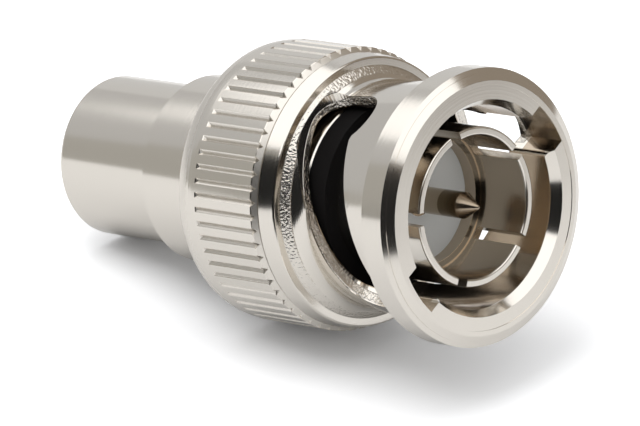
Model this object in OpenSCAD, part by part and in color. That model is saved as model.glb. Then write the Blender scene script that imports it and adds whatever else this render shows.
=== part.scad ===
// BNC bayonet plug with a phono jack at its other end.
// Millimetres. It stands on the jack end: Z runs along the connector's axis and
// out of the plug's mouth. The nut's first lug channel lies at channel_angle and
// its second one opposite.

/* [Phono jack end] */
// Outer diameter of the jack barrel
jack_d = 8.3; // [8:0.05:8.8]
// Length of the jack barrel up to the hub's step
jack_len = 7; // [6:0.1:10]
// Rounding of the jack barrel's end
jack_round = 0.25; // [0.1:0.05:0.4]
// Outer diameter of the insulator inside the barrel
jack_insulator_d = 6.6; // [6.2:0.1:7.2]
// How far the insulator sits back from the barrel's end
jack_recess = 0.3; // [0.1:0.05:0.6]
// Bore of the centre socket, for a phono plug's pin
socket_bore_d = 3.25; // [3:0.05:3.4]
// Wall of the centre socket
socket_wall = 0.5; // [0.4:0.05:0.6]
// Depth of the centre socket's bore
socket_depth = 8.4; // [6:0.1:9]
// Width of the slots that part the socket's fingers
socket_slot_w = 0.4; // [0.2:0.05:0.6]
// Length of the slots that part the socket's fingers
socket_slot_len = 5; // [3:0.1:6]

/* [Shell] */
// Diameter of the plain hub behind the grip ring
hub_d = 9.7; // [9.2:0.1:9.9]
// Length of the hub that shows between its step and the grip ring
hub_show = 5.05; // [4:0.05:8]
// Chamfer of the hub's edge
hub_chamfer = 0.12; // [0.05:0.01:0.2]
// Radial width of the collar over the hub, which the washer and spring share
collar_w = 1.17; // [1:0.01:1.3]
// Thickness of the collar that the coupling nut bears on
collar_t = 2.2; // [1.6:0.1:2.4]

/* [Outer contact] */
// Outer diameter of the slotted contact
contact_d = 8.1; // [7.9:0.05:8.3]
// Wall of the contact's fingers
contact_wall = 0.42; // [0.36:0.01:0.5]
// Number of fingers
finger_count = 5; // [3:1:6]
// Width of the slot between two fingers
finger_slot_w = 0.66; // [0.4:0.02:0.9]
// How far the fingers sit back from the nut's front face
contact_setback = 0.72; // [0.4:0.02:1.2]
// Depth of the open bore between the fingers
contact_bore_depth = 3.25; // [2.5:0.05:3.8]
// How far the contact stands in front of the gasket
contact_reach = 5.85; // [5.2:0.05:6]
// Length of the contact's tail, pressed into the shell
contact_tail = 4; // [3:0.1:4.4]
// How much thinner the contact is in the shell and under its gasket
contact_step = 0.2; // [0.16:0.01:0.3]
// Rounding of the fingers' tips
finger_round = 0.1; // [0.05:0.01:0.16]

/* [Pin and insulators] */
// Diameter of the centre pin
pin_d = 1.35; // [1.2:0.01:1.4]
// Length of the pin's pointed end
pin_point_len = 1; // [0.6:0.1:1.4]
// Radius of the ball at the pin's tip
pin_tip_r = 0.15; // [0.1:0.01:0.2]
// How far the pin reaches past the fingers
pin_over = 0.2; // [-0.5:0.05:0.4]
// How much thicker the pin is where the front insulator grips it
pin_step = 0.2; // [0.16:0.01:0.25]
// Diameter of the pin's thicker shank
pin_shank_d = 2; // [1.8:0.1:2.4]
// Diameter of the pin's tail, pressed into the centre socket
pin_tail_d = 1.4; // [1.2:0.05:1.6]
// Length of the pin's tail
pin_tail_len = 2.2; // [1.5:0.1:2.5]
// Diameter of the white front insulator
bead_d = 6.5; // [5.8:0.05:6.6]
// How far the bead's face sits behind the ledge in the contact
bead_recess = 0.75; // [0.1:0.05:1]
// Thickness of the rubber gasket round the contact's root
gasket_t = 1.3; // [0.8:0.1:1.6]

/* [Coupling nut] */
// Bore of the coupling nut
nut_bore_d = 10.3; // [10:0.05:10.8]
// Wall of the barrel where it leaves the shoulder
barrel_wall = 0.57; // [0.45:0.01:0.7]
// How much the barrel's radius grows toward the flange
barrel_flare = 0.5; // [0.3:0.01:0.6]
// Length of the barrel between the shoulder and the flange
barrel_len = 6.3; // [6.2:0.05:8]
// Width of the flange's rim
rim_w = 1.46; // [1.2:0.02:2]
// Height of the chamfers on the flange's front
face_rise = 0.39; // [0.2:0.01:0.5]
// Radial width of the flange's outer chamfer
outer_chamfer_w = 0.62; // [0.4:0.01:0.7]
// Radial width of the outer chamfer's lower part, outside its small step
rim_step_w = 0.24; // [0.15:0.01:0.3]
// Height of the small step in the outer chamfer
rim_step = 0.05; // [0.02:0.01:0.08]
// Radial width of the mouth's inner chamfer
inner_chamfer_w = 0.32; // [0.2:0.01:0.5]
// Axial length of the mouth's inner chamfer
inner_chamfer_len = 0.55; // [0.2:0.01:0.6]
// How far the face inside the lug channels' floors sits back
face_step = 0.03; // [0.02:0.01:0.1]
// Radial wall of the flange outside the lug channels
flange_wall = 0.91; // [0.78:0.01:1.2]
// Length of the shoulder in front of the grip ring
shoulder_len = 0.95; // [0.7:0.01:1.2]
// How far the shoulder stands over the nut's rear sleeve
shoulder_step = 0.17; // [0.12:0.01:0.25]
// Thickness of metal between that seat and the shoulder's rear
seat_back = 0.45; // [0.3:0.01:0.8]
// Wall of the nut's rear sleeve
sleeve_wall = 0.75; // [0.65:0.01:0.9]

/* [Bayonet] */
// Angle of the first lug channel about the axis
channel_angle = -38.5; // [-90:0.5:90]
// Width of the lug channels
channel_w = 2.5; // [2.2:0.05:2.8]
// Depth of the lug channels below the bore
channel_depth = 0.98; // [0.9:0.01:1.1]
// Rounding of the channels' corners at the bore
channel_round = 0.35; // [0.2:0.01:0.4]
// Width of the cam slots
slot_w = 3.2; // [2.6:0.05:3.3]
// Turn from a lug channel to its locking pocket
slot_turn = 89; // [80:0.5:92]
// Axial rise of the cam over that turn
cam_rise = 2.65; // [2.2:0.05:2.8]
// Height of the cam slot's first point below the flange
cam_start = 2.4; // [2.3:0.05:2.6]
// How far the locking pocket returns toward the mouth
pocket_depth = 1; // [0.6:0.05:1.2]

/* [Grip ring] */
// Length of the grip ring
grip_len = 5.8; // [5.6:0.05:6.4]
// Wall of the grip ring over the nut's sleeve
grip_wall = 0.4; // [0.35:0.01:0.6]
// Length of the smooth band behind the knurl
grip_band = 1.25; // [0.8:0.05:1.6]
// Number of knurl grooves
knurl_count = 62; // [40:1:72]
// Depth of the knurl grooves
knurl_depth = 0.13; // [0.1:0.01:0.25]
// Share of each pitch that a groove takes
knurl_share = 0.4; // [0.3:0.01:0.6]
// Depth of the notches that part the knurl's front ends
notch_depth = 0.2; // [0.14:0.01:0.26]
// Length of the notches that part the knurl's front ends
notch_len = 0.3; // [0.2:0.01:0.5]
// Share of each pitch that a notch takes
notch_share = 0.52; // [0.4:0.01:0.6]

/* [Spring and washers] */
// Thickness of the snap ring
ring_t = 0.6; // [0.4:0.05:0.7]
// How deep the snap ring sits in its groove
ring_bite = 0.35; // [0.2:0.01:0.4]
// Opening between the snap ring's ends
ring_gap = 3; // [2:0.1:4]
// Lip of the nut behind the snap ring
ring_lip = 0.45; // [0.3:0.05:0.6]
// Thickness of the thrust washer
washer_t = 0.5; // [0.4:0.05:0.6]
// Thickness of the wave spring's strip
spring_t = 0.25; // [0.15:0.01:0.3]
// Number of waves in the spring
wave_count = 3; // [2:1:4]

/* [Clearances] */
// Radial clearance of the collar in the nut
nut_clear = 0.08; // [0.03:0.01:0.1]
// Radial clearance of the washer and the spring round the hub
hub_clear = 0.15; // [0.1:0.01:0.2]
// Radial clearance of the shell's nose in the nut's bore
nose_clear = 0.3; // [0.2:0.01:0.4]
// Axial clearance of the snap ring in its groove
ring_clear = 0.03; // [0.01:0.01:0.06]
// Gap between the grip ring and the nut's shoulder
joint_gap = 0.1; // [0.05:0.01:0.2]
// Radial room round the socket's fingers
finger_clear = 0.3; // [0.2:0.05:0.4]

/* [Hidden] */
$fn = 96;
eps = 0.01;
over_cut = 0.03;

nickel = "#c9c5bd";
nickel_dark = "#a8a39a";

// Radii. The collar, the nut's cavity, its sleeve and the grip ring follow the hub
bore_r = nut_bore_d / 2;
barrel_r = bore_r + barrel_wall;
channel_r = bore_r + channel_depth;
flange_r = channel_r + flange_wall;
hub_r = hub_d / 2;
collar_r = hub_r + collar_w;
cavity_r = collar_r + nut_clear;
sleeve_r = cavity_r + sleeve_wall;
shoulder_r = sleeve_r + shoulder_step;
grip_r = sleeve_r + grip_wall;
nose_r = bore_r - nose_clear;
jack_r = jack_d / 2;
contact_r = contact_d / 2;
contact_bore_r = contact_r - contact_wall;
tail_r = contact_r - contact_step;
bead_r = bead_d / 2;
pin_r = pin_d / 2;
neck_r = pin_r + pin_step;
shank_r = pin_shank_d / 2;
socket_r = socket_bore_d / 2 + socket_wall;
jack_insulator_r = jack_insulator_d / 2;

// Heights, worked up from the jack's end
hub_z = jack_len;
grip_z = hub_z + hub_show;
shoulder_z = grip_z + grip_len + joint_gap;
face_z = shoulder_z + shoulder_len;
flange_z = face_z + barrel_len;
rim_z = flange_z + rim_w;
mouth_z = rim_z + face_rise;
sleeve_inset = 0.25;
sleeve_z = grip_z + sleeve_inset;
ring_z = sleeve_z + ring_lip;
washer_z = ring_z + ring_t;
spring_z = washer_z + washer_t;
seat_z = shoulder_z - seat_back;
collar_z = seat_z - collar_t;
spring_h = collar_z - spring_z;
fingers_z = mouth_z - contact_setback;
ledge_z = fingers_z - contact_bore_depth;
bead_z = ledge_z - bead_recess;
gasket_front_z = fingers_z - contact_reach;
gasket_z = gasket_front_z - gasket_t;
tail_z = gasket_z - contact_tail;
pin_tip_z = fingers_z + pin_over;
socket_inset = 0.2;
socket_z = jack_recess + socket_inset;
socket_solid = 3.6;
socket_front_z = socket_z + socket_depth + socket_solid;
shank_front = 2;
shank_z = bead_z - shank_front;

// One finger slot faces the second lug channel as the parts lie
finger_angle = channel_angle + 180;

// Quarter arc from angle a to b about c, for rounded profile corners
function arc(c, r, a, b, n = 8) =
    [for (i = [0:n]) c + r * [cos(a + (b - a) * i / n), sin(a + (b - a) * i / n)]];

// Ring of rectangular section between two radii, from z up to z + h
module ring(r_in, r_out, z, h) {
    translate([0, 0, z])
        difference() {
            cylinder(r = r_out, h = h);
            translate([0, 0, -eps]) cylinder(r = r_in, h = h + 2 * eps);
        }
}

// ---- Body of the connector ----

module shell() {
    nose_chamfer = 0.15;
    profile = concat(
        [[jack_insulator_r, 0]],
        arc([jack_r - jack_round, jack_round], jack_round, -90, 0),
        [[jack_r, hub_z],
         [hub_r - hub_chamfer, hub_z],
         [hub_r, hub_z + hub_chamfer],
         [hub_r, collar_z],
         [collar_r, collar_z],
         [collar_r, seat_z],
         [nose_r, seat_z],
         [nose_r, gasket_z - nose_chamfer],
         [nose_r - nose_chamfer, gasket_z],
         [tail_r, gasket_z],
         [tail_r, tail_z],
         [bead_r, tail_z],
         [bead_r, socket_front_z],
         [jack_insulator_r, socket_front_z]]);
    color(nickel) rotate_extrude() polygon(profile);
}

// One slot for each gap between fingers, from the tips back to the ledge
module finger_slots() {
    slot_stop = 0.15;
    for (i = [0:finger_count - 1])
        rotate(finger_angle + i * 360 / finger_count)
            translate([0, -finger_slot_w / 2, ledge_z + slot_stop])
                cube([contact_r + 1, finger_slot_w, contact_bore_depth + 1]);
}

module outer_contact() {
    inner_round = finger_round;
    profile = concat(
        [[bead_r, tail_z],
         [tail_r, tail_z],
         [tail_r, gasket_front_z],
         [contact_r, gasket_front_z]],
        arc([contact_r - finger_round, fingers_z - finger_round], finger_round, 0, 90),
        arc([contact_bore_r + inner_round, fingers_z - inner_round], inner_round, 90, 180),
        [[contact_bore_r, ledge_z],
         [bead_r, ledge_z]]);
    color(nickel)
        difference() {
            rotate_extrude() polygon(profile);
            finger_slots();
        }
}

module front_insulator() {
    color("#eef1f2")
        difference() {
            translate([0, 0, socket_front_z]) cylinder(r = bead_r, h = bead_z - socket_front_z);
            translate([0, 0, shank_z - eps]) cylinder(r = neck_r, h = shank_front + 1);
            translate([0, 0, socket_front_z - eps])
                cylinder(r = shank_r, h = shank_z - socket_front_z + eps);
        }
}

module centre_pin() {
    // The ball's rim lies where the point's slope meets it
    ball_z = pin_tip_z - pin_tip_r;
    point_z = pin_tip_z - pin_point_len;
    slope = atan((pin_r - pin_tip_r) / (ball_z - point_z));
    profile = concat(
        [[0, socket_front_z - pin_tail_len],
         [pin_tail_d / 2, socket_front_z - pin_tail_len],
         [pin_tail_d / 2, socket_front_z],
         [shank_r, socket_front_z],
         [shank_r, shank_z],
         [neck_r, shank_z],
         [neck_r, bead_z],
         [pin_r, bead_z],
         [pin_r, point_z]],
        arc([0, ball_z], pin_tip_r, slope, 90));
    color("#8d8477") rotate_extrude() polygon(profile);
}

module face_gasket() {
    color("#1c1b1a") ring(tail_r, nose_r, gasket_z, gasket_t);
}

module rear_insulator() {
    color("#e9e7e1")
        difference() {
            translate([0, 0, jack_recess])
                cylinder(r = jack_insulator_r, h = socket_front_z - jack_recess);
            translate([0, 0, jack_recess - eps])
                cylinder(r = socket_r, h = socket_front_z - jack_recess + 2 * eps);
            translate([0, 0, jack_recess - eps])
                cylinder(r = socket_r + finger_clear, h = socket_inset + socket_slot_len);
        }
}

module rear_socket() {
    mouth = 0.2;
    color(nickel_dark)
        difference() {
            translate([0, 0, socket_z]) cylinder(r = socket_r, h = socket_front_z - socket_z);
            translate([0, 0, socket_z - eps]) cylinder(d = socket_bore_d, h = socket_depth + eps);
            translate([0, 0, socket_z - eps])
                cylinder(r1 = socket_bore_d / 2 + mouth, r2 = socket_bore_d / 2, h = mouth);
            translate([0, 0, socket_front_z - pin_tail_len])
                cylinder(d = pin_tail_d, h = pin_tail_len + eps);
            for (turn = [0, 90])
                rotate(turn)
                    translate([-socket_r - 1, -socket_slot_w / 2, socket_z - 1])
                        cube([2 * socket_r + 2, socket_slot_w, socket_slot_len + 1]);
        }
}

// ---- Coupling nut ----

// Half section of the nut without its bayonet cuts
module nut_profile() {
    edge = 0.12;
    edge_taper = 0.12;
    land_w = 0.36;
    cove_r = 1;
    // The slope from the land leans 45 degrees and meets the cove where they touch
    cove_x = barrel_r + cove_r * (1 - cos(45));
    slope_w = shoulder_r - edge_taper - edge - land_w - cove_x;
    fillet_r = 0.6;
    flange_fillet_r = barrel_r + barrel_flare;
    step_r = channel_r + over_cut;
    rim_step_z = rim_z + rim_step_w * (face_rise - rim_step) / outer_chamfer_w;
    polygon(concat(
        [[cavity_r, sleeve_z],
         [sleeve_r, sleeve_z],
         [sleeve_r, shoulder_z],
         [shoulder_r, shoulder_z]],
        arc([shoulder_r - edge_taper - edge, face_z - edge], edge, 0, 90, 5),
        [[cove_x + slope_w, face_z]],
        arc([barrel_r + cove_r, face_z + slope_w + cove_r * sin(45)], cove_r, 225, 180, 8),
        arc([flange_fillet_r + fillet_r, flange_z - fillet_r], fillet_r, 180, 90, 8),
        [[flange_r - edge, flange_z],
         [flange_r, flange_z + edge],
         [flange_r, rim_z],
         [flange_r - rim_step_w, rim_step_z],
         [flange_r - rim_step_w, rim_step_z + rim_step],
         [flange_r - outer_chamfer_w, mouth_z],
         [step_r, mouth_z],
         [step_r, mouth_z - face_step],
         [bore_r + inner_chamfer_w, mouth_z - face_step],
         [bore_r, mouth_z - inner_chamfer_len],
         [bore_r, seat_z],
         [cavity_r, seat_z]]));
}

// The cam slot is what a round cutter of slot_w leaves as it follows this path of
// [turn in degrees, height]: down the ramp, then back into the locking pocket. It
// starts on the lug channel's middle line, so its round end clears the channel.
cutter_r = slot_w / 2;
cam_z = flange_z - cam_start;
deg_mm = PI / 180 * barrel_r;
ramp_steps = 40;
pocket_steps = 8;
cam_path = concat(
    [for (i = [0:ramp_steps])
        [slot_turn * i / ramp_steps, cam_z - cam_rise * i / ramp_steps]],
    [for (i = [1:pocket_steps])
        [slot_turn, cam_z - cam_rise + pocket_depth * i / pocket_steps]]);

// Heights of the slot's two edges at turn t: the cutter's envelope over the path
function reach(t, p) = pow(cutter_r, 2) - pow((t - p[0]) * deg_mm, 2);
function edges(t) =
    let (near = [for (p = cam_path) if (reach(t, p) > 0) p])
        [min([for (p = near) p[1] - sqrt(reach(t, p))]),
         max([for (p = near) p[1] + sqrt(reach(t, p))])];

// Radial cutter for one cam slot, as a strip of columns from end to end
module cam_cutter() {
    columns = 64;
    end_share = 0.6;
    half = slot_turn / 2 + cutter_r / deg_mm;
    inside = bore_r - nose_clear / 2;
    outside = barrel_r + barrel_flare + over_cut;
    turns = [for (i = [0:columns])
        slot_turn / 2 - half * cos(180 * (i + end_share) / (columns + 2 * end_share))];
    points = [for (t = turns)
        let (e = edges(t))
            for (q = [[inside, e[0]], [inside, e[1]], [outside, e[1]], [outside, e[0]]])
                [q[0] * cos(-t), q[0] * sin(-t), q[1]]];
    sides = [for (i = [0:columns - 1], k = [0:3])
        let (a = 4 * i + k, b = 4 * i + (k + 1) % 4)
            for (f = [[a, b, b + 4], [a, b + 4, a + 4]]) f];
    last = 4 * columns;
    polyhedron(points, concat(sides,
        [[3, 2, 1], [3, 1, 0], [last, last + 1, last + 2], [last, last + 2, last + 3]]));
}

// One lug channel: an arc-floored groove, open to the bore, with rounded corners
module channel_cutter() {
    corner_r = bore_r + channel_round;
    corner_y = channel_w / 2 + channel_round;
    centre = [sqrt(pow(corner_r, 2) - pow(corner_y, 2)), corner_y];
    on_bore = centre * bore_r / corner_r;
    wall_y = channel_w / 2 - over_cut;
    corner = [sqrt(pow(bore_r, 2) - pow(channel_w / 2, 2)) - over_cut, wall_y];
    on_wall = [centre[0], wall_y];
    bottom = cam_z - cutter_r / 4;
    translate([0, 0, bottom])
        intersection() {
            cylinder(r = channel_r, h = mouth_z - bottom + 1);
            translate([0, -channel_w / 2, 0]) cube([flange_r, channel_w, mouth_z - bottom + 1]);
        }
    translate([0, 0, flange_z - cam_start / 2])
        for (side = [0, 1])
            mirror([0, side, 0])
                difference() {
                    linear_extrude(mouth_z) polygon([corner, on_wall, centre, on_bore]);
                    translate([centre[0], centre[1], -1]) cylinder(r = channel_round, h = mouth_z + 2);
                }
}

module coupling_nut() {
    color(nickel)
        difference() {
            rotate_extrude() nut_profile();
            ring(cavity_r - 1, cavity_r + ring_bite, ring_z - ring_clear, ring_t + 2 * ring_clear);
            for (side = [0, 180])
                rotate(channel_angle + side) {
                    channel_cutter();
                    cam_cutter();
                }
        }
}

// A row of V grooves round the ring, as prisms that cut in from outside it
module v_grooves(depth, share) {
    pitch = 360 / knurl_count;
    floor_r = grip_r - depth;
    tip_r = grip_r + 0.1;
    half = grip_r * sin(pitch * share / 2) * (tip_r - floor_r) / depth;
    linear_extrude(grip_len)
        for (i = [0:knurl_count - 1])
            rotate((i + 0.5) * pitch) polygon([[floor_r, 0], [tip_r, -half], [tip_r, half]]);
}

// The knurl's grooves. The cone kept out of them makes each groove's floor rise to
// the surface at its rear end.
module knurl_grooves() {
    run_out = 0.4;
    difference() {
        v_grooves(knurl_depth, knurl_share);
        translate([0, 0, -eps])
            cylinder(r1 = grip_r + 0.15, r2 = grip_r - knurl_depth - over_cut, h = run_out);
    }
}

module grip_ring() {
    rear_in = 0.42;
    front_chamfer = 0.27;
    groove_start = 0.05;
    band_z = grip_z + grip_band;
    front_z = grip_z + grip_len;
    color(nickel_dark)
        difference() {
            rotate_extrude()
                polygon(concat(
                    [[0, grip_z]],
                    [for (i = [0:8])
                        [grip_r - rear_in * (1 - sin(i * 90 / 8)),
                         grip_z + grip_band * (1 - cos(i * 90 / 8))]],
                    [[grip_r, front_z - front_chamfer],
                     [grip_r - front_chamfer, front_z],
                     [0, front_z]]));
            translate([0, 0, band_z + groove_start]) knurl_grooves();
            translate([0, 0, front_z - notch_len]) v_grooves(notch_depth, notch_share);
            translate([0, 0, grip_z - 1]) cylinder(r = sleeve_r, h = grip_len + 2);
        }
}

// ---- Spring and washers ----

// Flat strip bent into waves between the thrust washer and the collar
module wave_spring() {
    steps = 72;
    r_in = hub_r + hub_clear;
    r_out = collar_r - nut_clear;
    swing = (spring_h - spring_t) / 2;
    points = [for (i = [0:steps - 1])
        let (a = 360 * i / steps, z = spring_z + swing * (1 - cos(wave_count * a)))
            for (q = [[r_in, z], [r_out, z], [r_out, z + spring_t], [r_in, z + spring_t]])
                [q[0] * cos(a), q[0] * sin(a), q[1]]];
    faces = [for (i = [0:steps - 1], k = [0:3])
        let (a = 4 * i + k, b = 4 * i + (k + 1) % 4, n = 4 * steps)
            for (f = [[a, (a + 4) % n, (b + 4) % n], [a, (b + 4) % n, b]]) f];
    color("#8f8f8c") polyhedron(points, faces);
}

module thrust_washer() {
    color("#b9b5ad") ring(hub_r + hub_clear, collar_r, washer_z, washer_t);
}

module snap_ring() {
    r_in = hub_r + 3 * hub_clear;
    color("#7d7b78")
        difference() {
            ring(r_in, cavity_r + ring_bite - ring_clear, ring_z, ring_t);
            translate([0, -ring_gap / 2, ring_z - 1]) cube([cavity_r + 1, ring_gap, ring_t + 2]);
        }
}

shell();
outer_contact();
front_insulator();
centre_pin();
face_gasket();
rear_insulator();
rear_socket();
coupling_nut();
grip_ring();
wave_spring();
thrust_washer();
snap_ring();
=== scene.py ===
# %% [markdown]
# # A coaxial bayonet plug on a pale studio floor
# The real object is a stack of turned metal pieces: a shell, a sprung outer contact,
# a centre pin in a white insulator, and a coupling nut with a knurled grip ring.
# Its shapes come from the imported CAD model. Here each piece gets its finish, and a
# small studio is built round it.

import math

import bmesh
import bpy
from mathutils import Matrix, Quaternion, Vector


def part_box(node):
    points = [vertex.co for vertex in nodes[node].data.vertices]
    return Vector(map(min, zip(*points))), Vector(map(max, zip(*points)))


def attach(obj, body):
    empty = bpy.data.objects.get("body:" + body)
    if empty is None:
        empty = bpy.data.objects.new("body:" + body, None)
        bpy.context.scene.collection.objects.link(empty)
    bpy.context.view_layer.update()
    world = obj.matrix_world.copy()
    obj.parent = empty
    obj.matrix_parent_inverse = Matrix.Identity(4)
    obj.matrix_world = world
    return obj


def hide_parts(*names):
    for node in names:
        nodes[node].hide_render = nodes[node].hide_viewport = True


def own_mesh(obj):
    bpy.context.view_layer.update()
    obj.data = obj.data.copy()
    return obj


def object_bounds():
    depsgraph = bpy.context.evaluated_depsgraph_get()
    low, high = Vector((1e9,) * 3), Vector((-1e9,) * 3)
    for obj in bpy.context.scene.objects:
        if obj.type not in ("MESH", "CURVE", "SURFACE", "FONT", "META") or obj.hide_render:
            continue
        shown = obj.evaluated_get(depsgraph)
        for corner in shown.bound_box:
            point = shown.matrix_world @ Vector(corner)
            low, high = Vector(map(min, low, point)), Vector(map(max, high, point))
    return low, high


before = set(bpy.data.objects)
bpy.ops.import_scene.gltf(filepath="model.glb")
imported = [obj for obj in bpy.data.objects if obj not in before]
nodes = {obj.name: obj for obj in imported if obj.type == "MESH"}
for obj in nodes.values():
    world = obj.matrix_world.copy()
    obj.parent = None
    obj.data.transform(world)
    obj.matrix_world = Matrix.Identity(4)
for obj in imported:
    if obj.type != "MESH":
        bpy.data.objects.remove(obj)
cad_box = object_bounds()
print("pieces in the frame:", ", ".join(sorted(nodes)))

MM = 0.001
scene = bpy.context.scene
scene.view_settings.view_transform = "Standard"

# %% [markdown]
# ## Camera
# A very long lens shows the connector with little perspective. The connector stands
# on its end in the model, so the camera is rolled until its axis lies across the
# view. The camera aims at a point near the middle of the connector.

# %% Camera
camera_place = Vector((0.0, -278.36, 295.56)) * MM
camera_aim = Vector((1.45, 0.0, 15.47)) * MM
camera_roll = math.radians(98.57)
lens_mm = 437.0

camera_data = bpy.data.cameras.new("camera")
camera_data.lens = lens_mm
camera_data.sensor_width = 36.0
camera_data.clip_start = 0.01
camera_data.clip_end = 10.0
camera = bpy.data.objects.new("camera", camera_data)
scene.collection.objects.link(camera)
camera.rotation_mode = "QUATERNION"
camera.location = camera_place
level = (camera_aim - camera_place).to_track_quat("-Z", "Y")
camera.rotation_quaternion = level @ Quaternion((0, 0, 1), camera_roll)
scene.camera = camera
camera_right = camera.rotation_quaternion @ Vector((1, 0, 0))
print("camera is", round((camera_aim - camera_place).length / MM), "mm away")

# %% [markdown]
# ## Where the floor lies
# The connector lies on its side on the table. It touches the table at the end of the
# jack barrel and at the rear edge of the knurled ring. A plane that touches both
# circles leans by `lean` from the axis, and `side` says which way round the axis the
# table is. The rounded edges bulge a little past that plane, so the floor is laid
# just under the lowest point of the whole model.

# %% Floor plane from the two circles that touch it
barrel_end_r = 4.15 * MM
grip_edge = 1.25 * MM
floor_gap = 0.01 * MM
grip_lo, grip_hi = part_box("grip_ring")
grip_r = grip_hi.x
grip_touch_z = grip_lo.z + grip_edge
lean = math.atan2(grip_r - barrel_end_r, grip_touch_z)
side = math.radians(24.8)
out = Vector((math.cos(side), math.sin(side), 0))
floor_up = Vector((0, 0, 1)) * math.sin(lean) - out * math.cos(lean)
lowest = min(
    (piece.matrix_world @ vert.co).dot(floor_up)
    for piece in nodes.values() for vert in piece.data.vertices
)
floor_point = floor_up * (lowest - floor_gap)
floor_right = (camera_right - floor_up * camera_right.dot(floor_up)).normalized()
floor_away = floor_up.cross(floor_right)
centre = Vector((0, 0, 0.5 * grip_touch_z + 0.5 * cad_box[1].z))
floor_centre = centre - floor_up * (centre - floor_point).dot(floor_up)
print("the axis leans", round(math.degrees(lean), 1), "degrees over the floor")

# %% [markdown]
# ## A small language for shader maths
# Node links are hard to read. This class wraps an output socket, so that a pattern
# can be written as ordinary sums, and the function `node` adds any other node.

# %% Shader helper
class Sock:
    """An output socket that can be added, multiplied and so on."""

    def __init__(self, tree, socket):
        self.tree, self.socket = tree, socket

    def __add__(self, other):
        return maths("ADD", self, other)

    def __radd__(self, other):
        return maths("ADD", other, self)

    def __sub__(self, other):
        return maths("SUBTRACT", self, other)

    def __rsub__(self, other):
        return maths("SUBTRACT", other, self)

    def __mul__(self, other):
        return maths("MULTIPLY", self, other)

    def __rmul__(self, other):
        return maths("MULTIPLY", other, self)

    def __truediv__(self, other):
        return maths("DIVIDE", self, other)

    def __rtruediv__(self, other):
        return maths("DIVIDE", other, self)

    def __pow__(self, other):
        return maths("POWER", self, other)


def maths(operation, *values, clamp=False):
    """Adds a Math node in the tree that the values come from."""
    tree = next(value.tree for value in values if isinstance(value, Sock))
    settings = {"operation": operation, "use_clamp": clamp}
    return node(tree, "ShaderNodeMath", settings, *values)


def node(tree, kind, settings=None, *values, out=0, at=None, **named):
    """Adds a node, sets it up, feeds its inputs and returns one of its outputs.

    values feed the first inputs in turn, at feeds inputs by their numbers, and named
    feeds them by their names, with _ for a space.
    """
    made = tree.nodes.new(kind)
    for key, value in (settings or {}).items():
        setattr(made, key, value)
    fed = dict(enumerate(values)) | (at or {})
    fed |= {key.replace("_", " "): value for key, value in named.items()}
    for key, value in fed.items():
        if isinstance(value, Sock):
            tree.links.new(value.socket, made.inputs[key])
        else:
            made.inputs[key].default_value = value
    if made.outputs:
        return Sock(tree, made.outputs[out])


def between(value, low, high, soft):
    """1 where value lies between low and high, fading to 0 over soft on each side."""
    rise = (value - low) / soft + 0.5
    fall = (high - value) / soft + 0.5
    return maths("MINIMUM", rise, fall, clamp=True)


# %% [markdown]
# ## What every material needs
# A material starts as an empty node tree and ends in one shader. Colours are blended by
# a Mix node, because a Math node would turn them grey. Its colour inputs are its sixth
# and seventh, since it has others of the same names for numbers and for vectors.

# %% Material helpers
def new_tree(name):
    """A new material and its empty node tree."""
    material = bpy.data.materials.new(name)
    material.use_nodes = True
    material.node_tree.nodes.clear()
    return material, material.node_tree


def finish_tree(tree, shader):
    """Joins the last shader to the material's output."""
    node(tree, "ShaderNodeOutputMaterial", Surface=shader)


def mix_colour(tree, factor, first, second):
    """Goes from the first colour to the second as factor goes from 0 to 1."""
    colours = {
        number: colour if isinstance(colour, Sock) else (*colour, 1)
        for number, colour in ((6, first), (7, second))
    }
    return node(tree, "ShaderNodeMix", {"data_type": "RGBA"}, factor, at=colours, out=2)


# %% [markdown]
# ## Nickel plating
# Bright nickel is a slightly warm, smooth metal. The nut and the shell are turned on
# a lathe, so fine rings run round the axis on every turned face. Where a cutter has
# milled the metal, and on the slope behind the barrel, the plating is coarse and
# sparkles. Inside the mouth and the bores the metal is painted darker and browner as
# painted shade, and the ledge deep in the contact is painted nearly black. All of it follows
# from two numbers of each point: its height on the axis and its distance from it.
# The relief is a bump, because these marks are far too small to be modelled.

# %% Plated metal
OUTER_NICKEL = (0.78, 0.74, 0.68)
# Painted shade: darker and browner inside the mouth and the bores.
INNER_SHADE = (0.50, 0.42, 0.33)
# Painted shade: nearly black on the ledge at the bottom of the contact's bore.
LEDGE_SHADE = (0.20, 0.19, 0.17)
RELIEF_DEPTH = 0.02 * MM
TURNED_STRETCH = (60.0, 60.0, 9000.0)
TURNED_RELIEF = 0.05
TURNED_ROUGHNESS = 0.04
FACE_RINGS_SCALE = 9.0
FACE_RINGS_RELIEF = 0.3
GRAIN_SCALE = 7500.0


def cylinder_place(tree):
    """Object coordinates, the distance from the axis and the height, both in mm."""
    place = node(tree, "ShaderNodeTexCoord", out=3)
    split = node(tree, "ShaderNodeSeparateXYZ", None, place).socket.node
    x, y, z = (Sock(tree, output) for output in split.outputs)
    reach = (x * x + y * y) ** 0.5
    return place, reach * 1000.0, z * 1000.0


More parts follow.
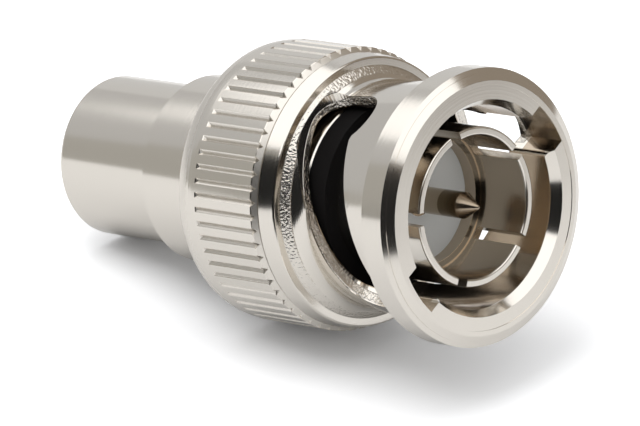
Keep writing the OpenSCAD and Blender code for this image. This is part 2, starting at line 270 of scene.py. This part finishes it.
def plated(
    name, colour, roughness,
    inner=None, coarse=None, ledge=None, dark=INNER_SHADE, grit=2.8, dull=0.08,
):
    """Plated metal. inner, coarse and ledge give masks from the distance and height.

    dark is the colour painted inside the inner mask, and the ledge mask is painted nearly
    black: both are painted shade. In the coarse mask, grit is the height of the grain and
    dull is what it adds to the roughness.
    """
    material, tree = new_tree(name)
    place, reach, height = cylinder_place(tree)
    multiply = {"operation": "MULTIPLY"}
    stretch = node(tree, "ShaderNodeVectorMath", multiply, place, TURNED_STRETCH)
    turned = node(tree, "ShaderNodeTexNoise", Vector=stretch, Scale=1.0, Detail=3.0)
    rings = node(
        tree, "ShaderNodeTexNoise", {"noise_dimensions": "1D"},
        W=reach, Scale=FACE_RINGS_SCALE, Detail=3.0,
    )
    relief = (turned + rings * FACE_RINGS_RELIEF) * TURNED_RELIEF
    rough = turned * TURNED_ROUGHNESS + (roughness - TURNED_ROUGHNESS / 2)
    if coarse:
        mask = coarse(reach, height)
        grain = node(tree, "ShaderNodeTexNoise", Vector=place, Scale=GRAIN_SCALE, Detail=1.0)
        relief = relief + grain * mask * grit
        rough = rough + mask * dull
    bump = node(tree, "ShaderNodeBump", Strength=1.0, Distance=RELIEF_DEPTH, Height=relief)
    tint = (*colour, 1)
    if inner:
        tint = mix_colour(tree, inner(reach, height), colour, dark)
    if ledge:
        tint = mix_colour(tree, ledge(reach, height), tint, LEDGE_SHADE)
    shader = node(
        tree, "ShaderNodeBsdfPrincipled",
        Base_Color=tint, Metallic=1.0, Roughness=rough, Normal=bump,
    )
    finish_tree(tree, shader)
    return material


# %% [markdown]
# ## Where the plating and the painted shade change
# A mask is 1 where a mark lies and 0 elsewhere. Each one is a band of distances from
# the axis, crossed with a band of heights, and it fades over its edges. That suits
# turned pieces, because a mark then runs all the way round by itself. The bands are in
# millimetres, and heights count from the rear end of the connector. The slots are cut
# through a barrel that widens towards the front, so the depth of their walls counts
# from the barrel's outer surface instead, and is below 0 inside the metal.

# %% Masks on the nut
bore_r, bore_z = (0.0, 5.2), (0.0, 26.45)
channel_r, channel_z = (5.25, 6.2), (24.9, 26.45)
mouth_r, mouth_z = (5.52, 6.2), (26.45, 26.97)
wall_depth, wall_z = (-0.5, -0.06), (18.3, 24.7)
slope_r, slope_z = (6.05, 6.43), (18.85, 19.4)
barrel_r, barrel_root_z, barrel_flare = 5.70, 20.0, 0.108
# The first fills the painted shade in the channels and the mouth out into its faded edges,
# and the second makes the slope's grain deeper.
shade_fill, rougher = 1.2, 1.1


def nut_inside_shade(reach, height):
    """Where shade is painted: the nut's bore up to the chamfer at its mouth, the chamfer, and
    the floors of the lug channels.
    """
    bore = between(reach, *bore_r, 0.05) * between(height, *bore_z, 0.05)
    channels = between(reach, *channel_r, 0.04) * between(height, *channel_z, 0.04)
    mouth = between(reach, *mouth_r, 0.04) * between(height, *mouth_z, 0.04)
    return bore + channels * shade_fill + mouth * shade_fill


def nut_coarse(reach, height):
    """The milled walls of the cam slots, under the barrel's skin, and the slope behind it."""
    barrel = barrel_r + (height - barrel_root_z) * barrel_flare
    walls = between(reach - barrel, *wall_depth, 0.03) * between(height, *wall_z, 0.05)
    slope = between(reach, *slope_r, 0.04) * between(height, *slope_z, 0.04)
    return walls + slope * rougher


# %% Masks on the grip ring, the contact and the pin
groove_r, groove_z, groove_strength = (6.5, 7.215), (12.0, 17.95), 0.8
contact_bore_r, contact_bore_z = (0.0, 3.68), (0.0, 26.2)
ledge_r, ledge_z = (3.27, 3.57), (23.0, 23.2)
shank_z = (24.25, 25.5)


def grip_grooves(reach, height):
    """The knurl's grooves, pressed by a wheel and so duller than the lands."""
    grooves = between(reach, *groove_r, 0.02) * between(height, *groove_z, 0.05)
    return grooves * groove_strength


def contact_bore_shade(reach, height):
    """The bore between the fingers, where shade is painted."""
    return between(reach, *contact_bore_r, 0.03) * between(height, *contact_bore_z, 0.05)


def contact_ledge_shade(reach, height):
    """The flat ledge at the bottom of that bore, apart from its outer edge, where it is
    painted nearly black as painted shade.
    """
    return between(reach, *ledge_r, 0.03) * between(height, *ledge_z, 0.05)


def pin_shank_shade(reach, height):
    """The plain part of the pin behind its point, painted dark as painted shade inside the
    contact.
    """
    return between(height, *shank_z, 0.06)


# %% [markdown]
# ## One metal for each kind of part
# The nut, the shell, the ring and the contact are all nickel, but each has its own
# marks and its own gloss. The pin is gilded, and the springs inside are plain steel.

# %% Metals
PIN_GILT = (0.40, 0.33, 0.25)
# Painted shade: the second gilt darkens the pin's shank inside the contact.
SHANK_SHADE = (0.17, 0.13, 0.08)
STEEL = (0.5, 0.49, 0.47)
shell_nickel = plated("shell_nickel", OUTER_NICKEL, 0.14)
nut_nickel = plated("nut_nickel", OUTER_NICKEL, 0.13, nut_inside_shade, nut_coarse)
ring_nickel = plated(
    "ring_nickel", OUTER_NICKEL, 0.15, coarse=grip_grooves, grit=0.2, dull=0.22
)
contact_nickel = plated(
    "contact_nickel", OUTER_NICKEL, 0.16, contact_bore_shade, ledge=contact_ledge_shade
)
pin_metal = plated("pin_metal", PIN_GILT, 0.18, pin_shank_shade, dark=SHANK_SHADE)
steel = plated("steel", STEEL, 0.25)
metals = [shell_nickel, nut_nickel, ring_nickel, contact_nickel, pin_metal, steel]
print("metals:", ", ".join(metal.name for metal in metals))


# %% [markdown]
# ## Plastic and rubber
# The insulators are white PTFE, which is waxy and a little see-through, and the
# gasket is black rubber. Neither is a metal, so their colour shows by itself. A
# little mottling keeps them from looking like flat paint. The gasket is painted darker
# than rubber and hardly shines, as painted shade, so the slot in front of it stays black.

# %% PTFE and rubber
MOTTLE_SCALE = 900.0
MOTTLE_ROUGHNESS = 0.1


def plain(name, colour, roughness, mottling, shine=0.5):
    """A plastic whose colour and roughness wander a little. shine is its gloss."""
    material, tree = new_tree(name)
    place = node(tree, "ShaderNodeTexCoord", out=3)
    mottle = node(tree, "ShaderNodeTexNoise", Vector=place, Scale=MOTTLE_SCALE, Detail=2.0)
    darker = tuple(c * (1 - mottling) for c in colour)
    shader = node(
        tree, "ShaderNodeBsdfPrincipled",
        Base_Color=mix_colour(tree, mottle, colour, darker),
        Roughness=mottle * MOTTLE_ROUGHNESS + roughness, Specular_IOR_Level=shine,
    )
    finish_tree(tree, shader)
    return material


ptfe = plain("ptfe", (0.97, 0.97, 0.93), 0.35, 0.05)
# Black rubber, painted darker still as the painted shade in the slot.
rubber = plain("rubber", (0.006, 0.005, 0.005), 0.8, 0.3, 0.15)

finishes = {
    "shell": shell_nickel, "outer_contact": contact_nickel, "coupling_nut": nut_nickel,
    "grip_ring": ring_nickel, "thrust_washer": shell_nickel, "centre_pin": pin_metal,
    "rear_socket": pin_metal, "front_insulator": ptfe, "rear_insulator": ptfe,
    "face_gasket": rubber, "wave_spring": steel, "snap_ring": steel,
}
for name, material in finishes.items():
    mesh = nodes[name].data
    mesh.materials.clear()
    mesh.materials.append(material)
print(len(finishes), "parts have", len(set(finishes.values())), "finishes")

# %% [markdown]
# ## The wave spring
# Behind the nut's washer sits a thin strip of spring steel, rolled into a ring and
# pressed into three waves. When the nut is pulled forward the waves flatten. A rigid
# solid can't do that. Here a strip of the same size takes its place: a rectangle is
# spun into a flat ring, and the ring is waved.

# %% A flat ring of spring steel
spring_lo, spring_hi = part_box("wave_spring")
spring_in, spring_out = 5.0 * MM, 5.94 * MM
strip, waves, travel = 0.25 * MM, 3, 0.8 * MM
steps_round = 120
height = spring_hi.z - spring_lo.z
bm = bmesh.new()
bmesh.ops.create_grid(bm, x_segments=1, y_segments=1, size=0.5)
bmesh.ops.scale(bm, vec=(spring_out - spring_in, strip, 1), verts=bm.verts)
bmesh.ops.rotate(bm, verts=bm.verts, matrix=Matrix.Rotation(math.pi / 2, 3, "X"))
section_at = ((spring_in + spring_out) / 2, 0, spring_lo.z + strip / 2)
bmesh.ops.translate(bm, verts=bm.verts, vec=section_at)
section = bm.faces[:]
bmesh.ops.spin(
    bm, geom=bm.edges[:], axis=(0, 0, 1), cent=(0, 0, 0),
    angle=2 * math.pi, steps=steps_round, use_merge=True,
)
bmesh.ops.delete(bm, geom=section, context="FACES_ONLY")
print("flat ring:", len(bm.faces), "faces")

# %% Its waves, and the piece itself
swing = (height - strip) / 2
for vert in bm.verts:
    turn = math.atan2(vert.co.y, vert.co.x)
    vert.co.z += swing * (1 - math.cos(waves * turn))
bmesh.ops.remove_doubles(bm, verts=bm.verts, dist=0.001 * MM)
bmesh.ops.recalc_face_normals(bm, faces=bm.faces)
spring_mesh = bpy.data.meshes.new("wave_spring_strip")
bm.to_mesh(spring_mesh)
bm.free()
spring = bpy.data.objects.new("wave_spring_strip", spring_mesh)
scene.collection.objects.link(spring)
spring_mesh.materials.append(steel)
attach(spring, "connector_body")
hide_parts("wave_spring")
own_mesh(spring)
spring_size = [round(side * 1000, 2) for side in spring.dimensions]
print("wave spring:", len(spring_mesh.polygons), "faces,", spring_size, "mm")

# %% [markdown]
# ## The floor
# The floor is a disc of white paper. The background is meant to be pure white, so the
# paper is brighter to the camera than to anything else, by way of Is Camera Ray in its
# colour. That leaves the shadow in place and puts no more light on the metal. Light
# that has already bounced once finds the paper darker, which keeps the shadow deep
# where the metal nearly touches it. From behind the floor is clear, so that a view
# from below still shows the connector.

# %% Helpers for the studio's pieces
def flat_frame(origin, right, up_normal):
    """A matrix whose X is right and whose Z is up_normal, at origin."""
    z = up_normal.normalized()
    x = (right - z * right.dot(z)).normalized()
    y = z.cross(x)
    m = Matrix((x, y, z)).transposed().to_4x4()
    m.translation = origin
    return m


def stage_mesh(name, build):
    """A piece of the studio, whose mesh is made by build."""
    mesh = bpy.data.meshes.new(name)
    bm = bmesh.new()
    build(bm)
    bm.to_mesh(mesh)
    bm.free()
    piece = bpy.data.objects.new(name, mesh)
    scene.collection.objects.link(piece)
    return piece


# %% Floor
floor_radius = 90 * MM
floor = stage_mesh(
    "floor",
    lambda bm: bmesh.ops.create_circle(
        bm, cap_ends=True, segments=96, radius=floor_radius,
        matrix=flat_frame(floor_centre, floor_right, floor_up),
    ),
)
PAPER = (0.89, 0.89, 0.89)
PAPER_SEEN = (1.37, 1.375, 1.39)
PAPER_BOUNCED = (0.42, 0.42, 0.42)
floor_material, tree = new_tree("floor_paint")
seen = node(tree, "ShaderNodeLightPath", out="Is Camera Ray")
bounces = node(tree, "ShaderNodeLightPath", out="Diffuse Depth")
bounced = maths("GREATER_THAN", bounces, 0.5)
reflected = mix_colour(tree, bounced, PAPER, PAPER_BOUNCED)
tone = mix_colour(tree, seen, reflected, PAPER_SEEN)
paper = node(tree, "ShaderNodeBsdfDiffuse", Color=tone)
clear = node(tree, "ShaderNodeBsdfTransparent")
behind = node(tree, "ShaderNodeNewGeometry", out="Backfacing")
finish_tree(tree, node(tree, "ShaderNodeMixShader", None, behind, paper, clear))
floor.data.materials.append(floor_material)
print("floor disc:", round(2 * floor_radius / MM), "mm across")

# %% [markdown]
# ## Panels that the metal reflects
# Bright metal shows its surroundings more than its own colour. A studio hangs
# a large white softbox overhead, leaves the camera's side dark and lets the rest of
# the room stay grey or brown. Each of those is a patch of one big sphere, cut out
# between two bearings and two heights. Only reflections see the patches, so they
# shape the metal and leave the pale floor alone. The patches lie at slightly
# different distances, so that a nearer one hides the room behind it. A ray that has
# already bounced off something dull finds them black, and so they add no light.

# %% A panel
BLACK = (0.0, 0.0, 0.0)


def panel(name, bearings, heights, radius, colour, strength):
    """A patch of a sphere round the object, between two bearings and two heights."""
    place = flat_frame(floor_centre, floor_right, floor_up)
    first, last = (math.radians(bearing) for bearing in bearings)
    low, high = (math.sin(math.radians(height)) * radius * MM for height in heights)
    cuts = [(floor_up * low, -floor_up), (floor_up * high, floor_up)]
    if last - first < math.pi:
        before_first = -(floor_right * math.cos(first) + floor_away * math.sin(first))
        past_last = floor_right * math.cos(last) + floor_away * math.sin(last)
        cuts += [(Vector(), before_first), (Vector(), past_last)]

    def build(bm):
        bmesh.ops.create_uvsphere(
            bm, u_segments=96, v_segments=64, radius=radius * MM, matrix=place
        )
        for offset, outward in cuts:
            bmesh.ops.bisect_plane(
                bm, geom=bm.verts[:] + bm.edges[:] + bm.faces[:],
                plane_co=floor_centre + offset, plane_no=outward, clear_outer=True,
            )

    piece = stage_mesh(name, build)
    piece.visible_camera = False
    piece.visible_diffuse = False
    piece.visible_shadow = False
    material, tree = new_tree(name + "_paint")
    bounces = node(tree, "ShaderNodeLightPath", out="Diffuse Depth")
    unbounced = maths("LESS_THAN", bounces, 0.5)
    seen = mix_colour(tree, unbounced, BLACK, colour)
    finish_tree(tree, node(tree, "ShaderNodeEmission", Color=seen, Strength=strength))
    piece.data.materials.append(material)
    return piece


# %% All the panels
NEUTRAL = (1.0, 1.0, 1.0)
WARM = (1.0, 0.98, 0.92)
BROWN = (1.0, 0.86, 0.71)
# name, bearings from first to last, heights, distance in mm, colour, strength
panels = [
    ("room", (-180, 180), (-6, 90), 600, NEUTRAL, 0.55),
    ("room_back", (160, 200), (-6, 25), 590, NEUTRAL, 0.66),
    ("softbox_left", (-174, -88), (31, 90), 560, NEUTRAL, 1.4),
    ("softbox_front", (-88, 34), (42, 90), 560, NEUTRAL, 1.4),
    ("softbox_right", (34, 94), (30, 90), 560, NEUTRAL, 1.4),
    ("softbox_back", (94, 186), (58, 90), 560, NEUTRAL, 1.4),
    ("room_near_camera", (-103, -87), (-6, 31), 590, WARM, 0.45),
    ("dark_camera_side", (-87, 39), (-5, 41), 540, NEUTRAL, 0.012),
    ("brown_right", (39, 94), (-5, 30), 540, BROWN, 0.2),
    ("brown_wall", (94, 163), (-5, 56), 540, BROWN, 0.31),
]
for row in panels:
    panel(*row)
print("panels:", len(panels))


# %% [markdown]
# ## One soft lamp
# White walls all round give the floor its soft, even light. One weak lamp high on the
# left gives the shadow its direction. It isn't seen in the metal, where the softbox
# panels already stand for it.

# %% Lamp
def studio_spot(azimuth, elevation, distance):
    """A place round the object: azimuth 0 is the camera's side and 90 is its right."""
    a, e = math.radians(azimuth), math.radians(elevation)
    flat = floor_right * math.sin(a) - floor_away * math.cos(a)
    return floor_centre + (flat * math.cos(e) + floor_up * math.sin(e)) * distance * MM


def lamp(name, azimuth, elevation, distance, side, watts):
    """A square lamp, side mm wide, turned towards the connector."""
    data = bpy.data.lights.new(name, "AREA")
    data.shape = "SQUARE"
    data.size = side * MM
    data.energy = watts
    piece = bpy.data.objects.new(name, data)
    scene.collection.objects.link(piece)
    piece.location = studio_spot(azimuth, elevation, distance)
    piece.rotation_mode = "QUATERNION"
    piece.rotation_quaternion = (centre - piece.location).to_track_quat("-Z", "Y")
    piece.visible_glossy = False
    return piece


top_light = lamp("top_light", -60, 70, 450, 300, 0.7)
print("lamp:", round(top_light.data.energy, 2), "watts")

# %% [markdown]
# ## The room's own light
# The world is a plain white room. To the camera and in reflections it is pure white,
# and it lights the connector a little less than that.

# %% World
ROOM_LIGHT = 0.78
world = bpy.data.worlds.new("white_room")
scene.world = world
world.use_nodes = True
tree = world.node_tree
tree.nodes.clear()
camera_sees = node(tree, "ShaderNodeLightPath", out="Is Camera Ray")
metal_sees = node(tree, "ShaderNodeLightPath", out="Is Glossy Ray")
glass_sees = node(tree, "ShaderNodeLightPath", out="Is Transmission Ray")
direct = maths("ADD", camera_sees + metal_sees, glass_sees, clamp=True)
strength = direct * (1 - ROOM_LIGHT) + ROOM_LIGHT
white = node(tree, "ShaderNodeBackground", Color=(1, 1, 1, 1), Strength=strength)
node(tree, "ShaderNodeOutputWorld", Surface=white)
print("world light:", ROOM_LIGHT)
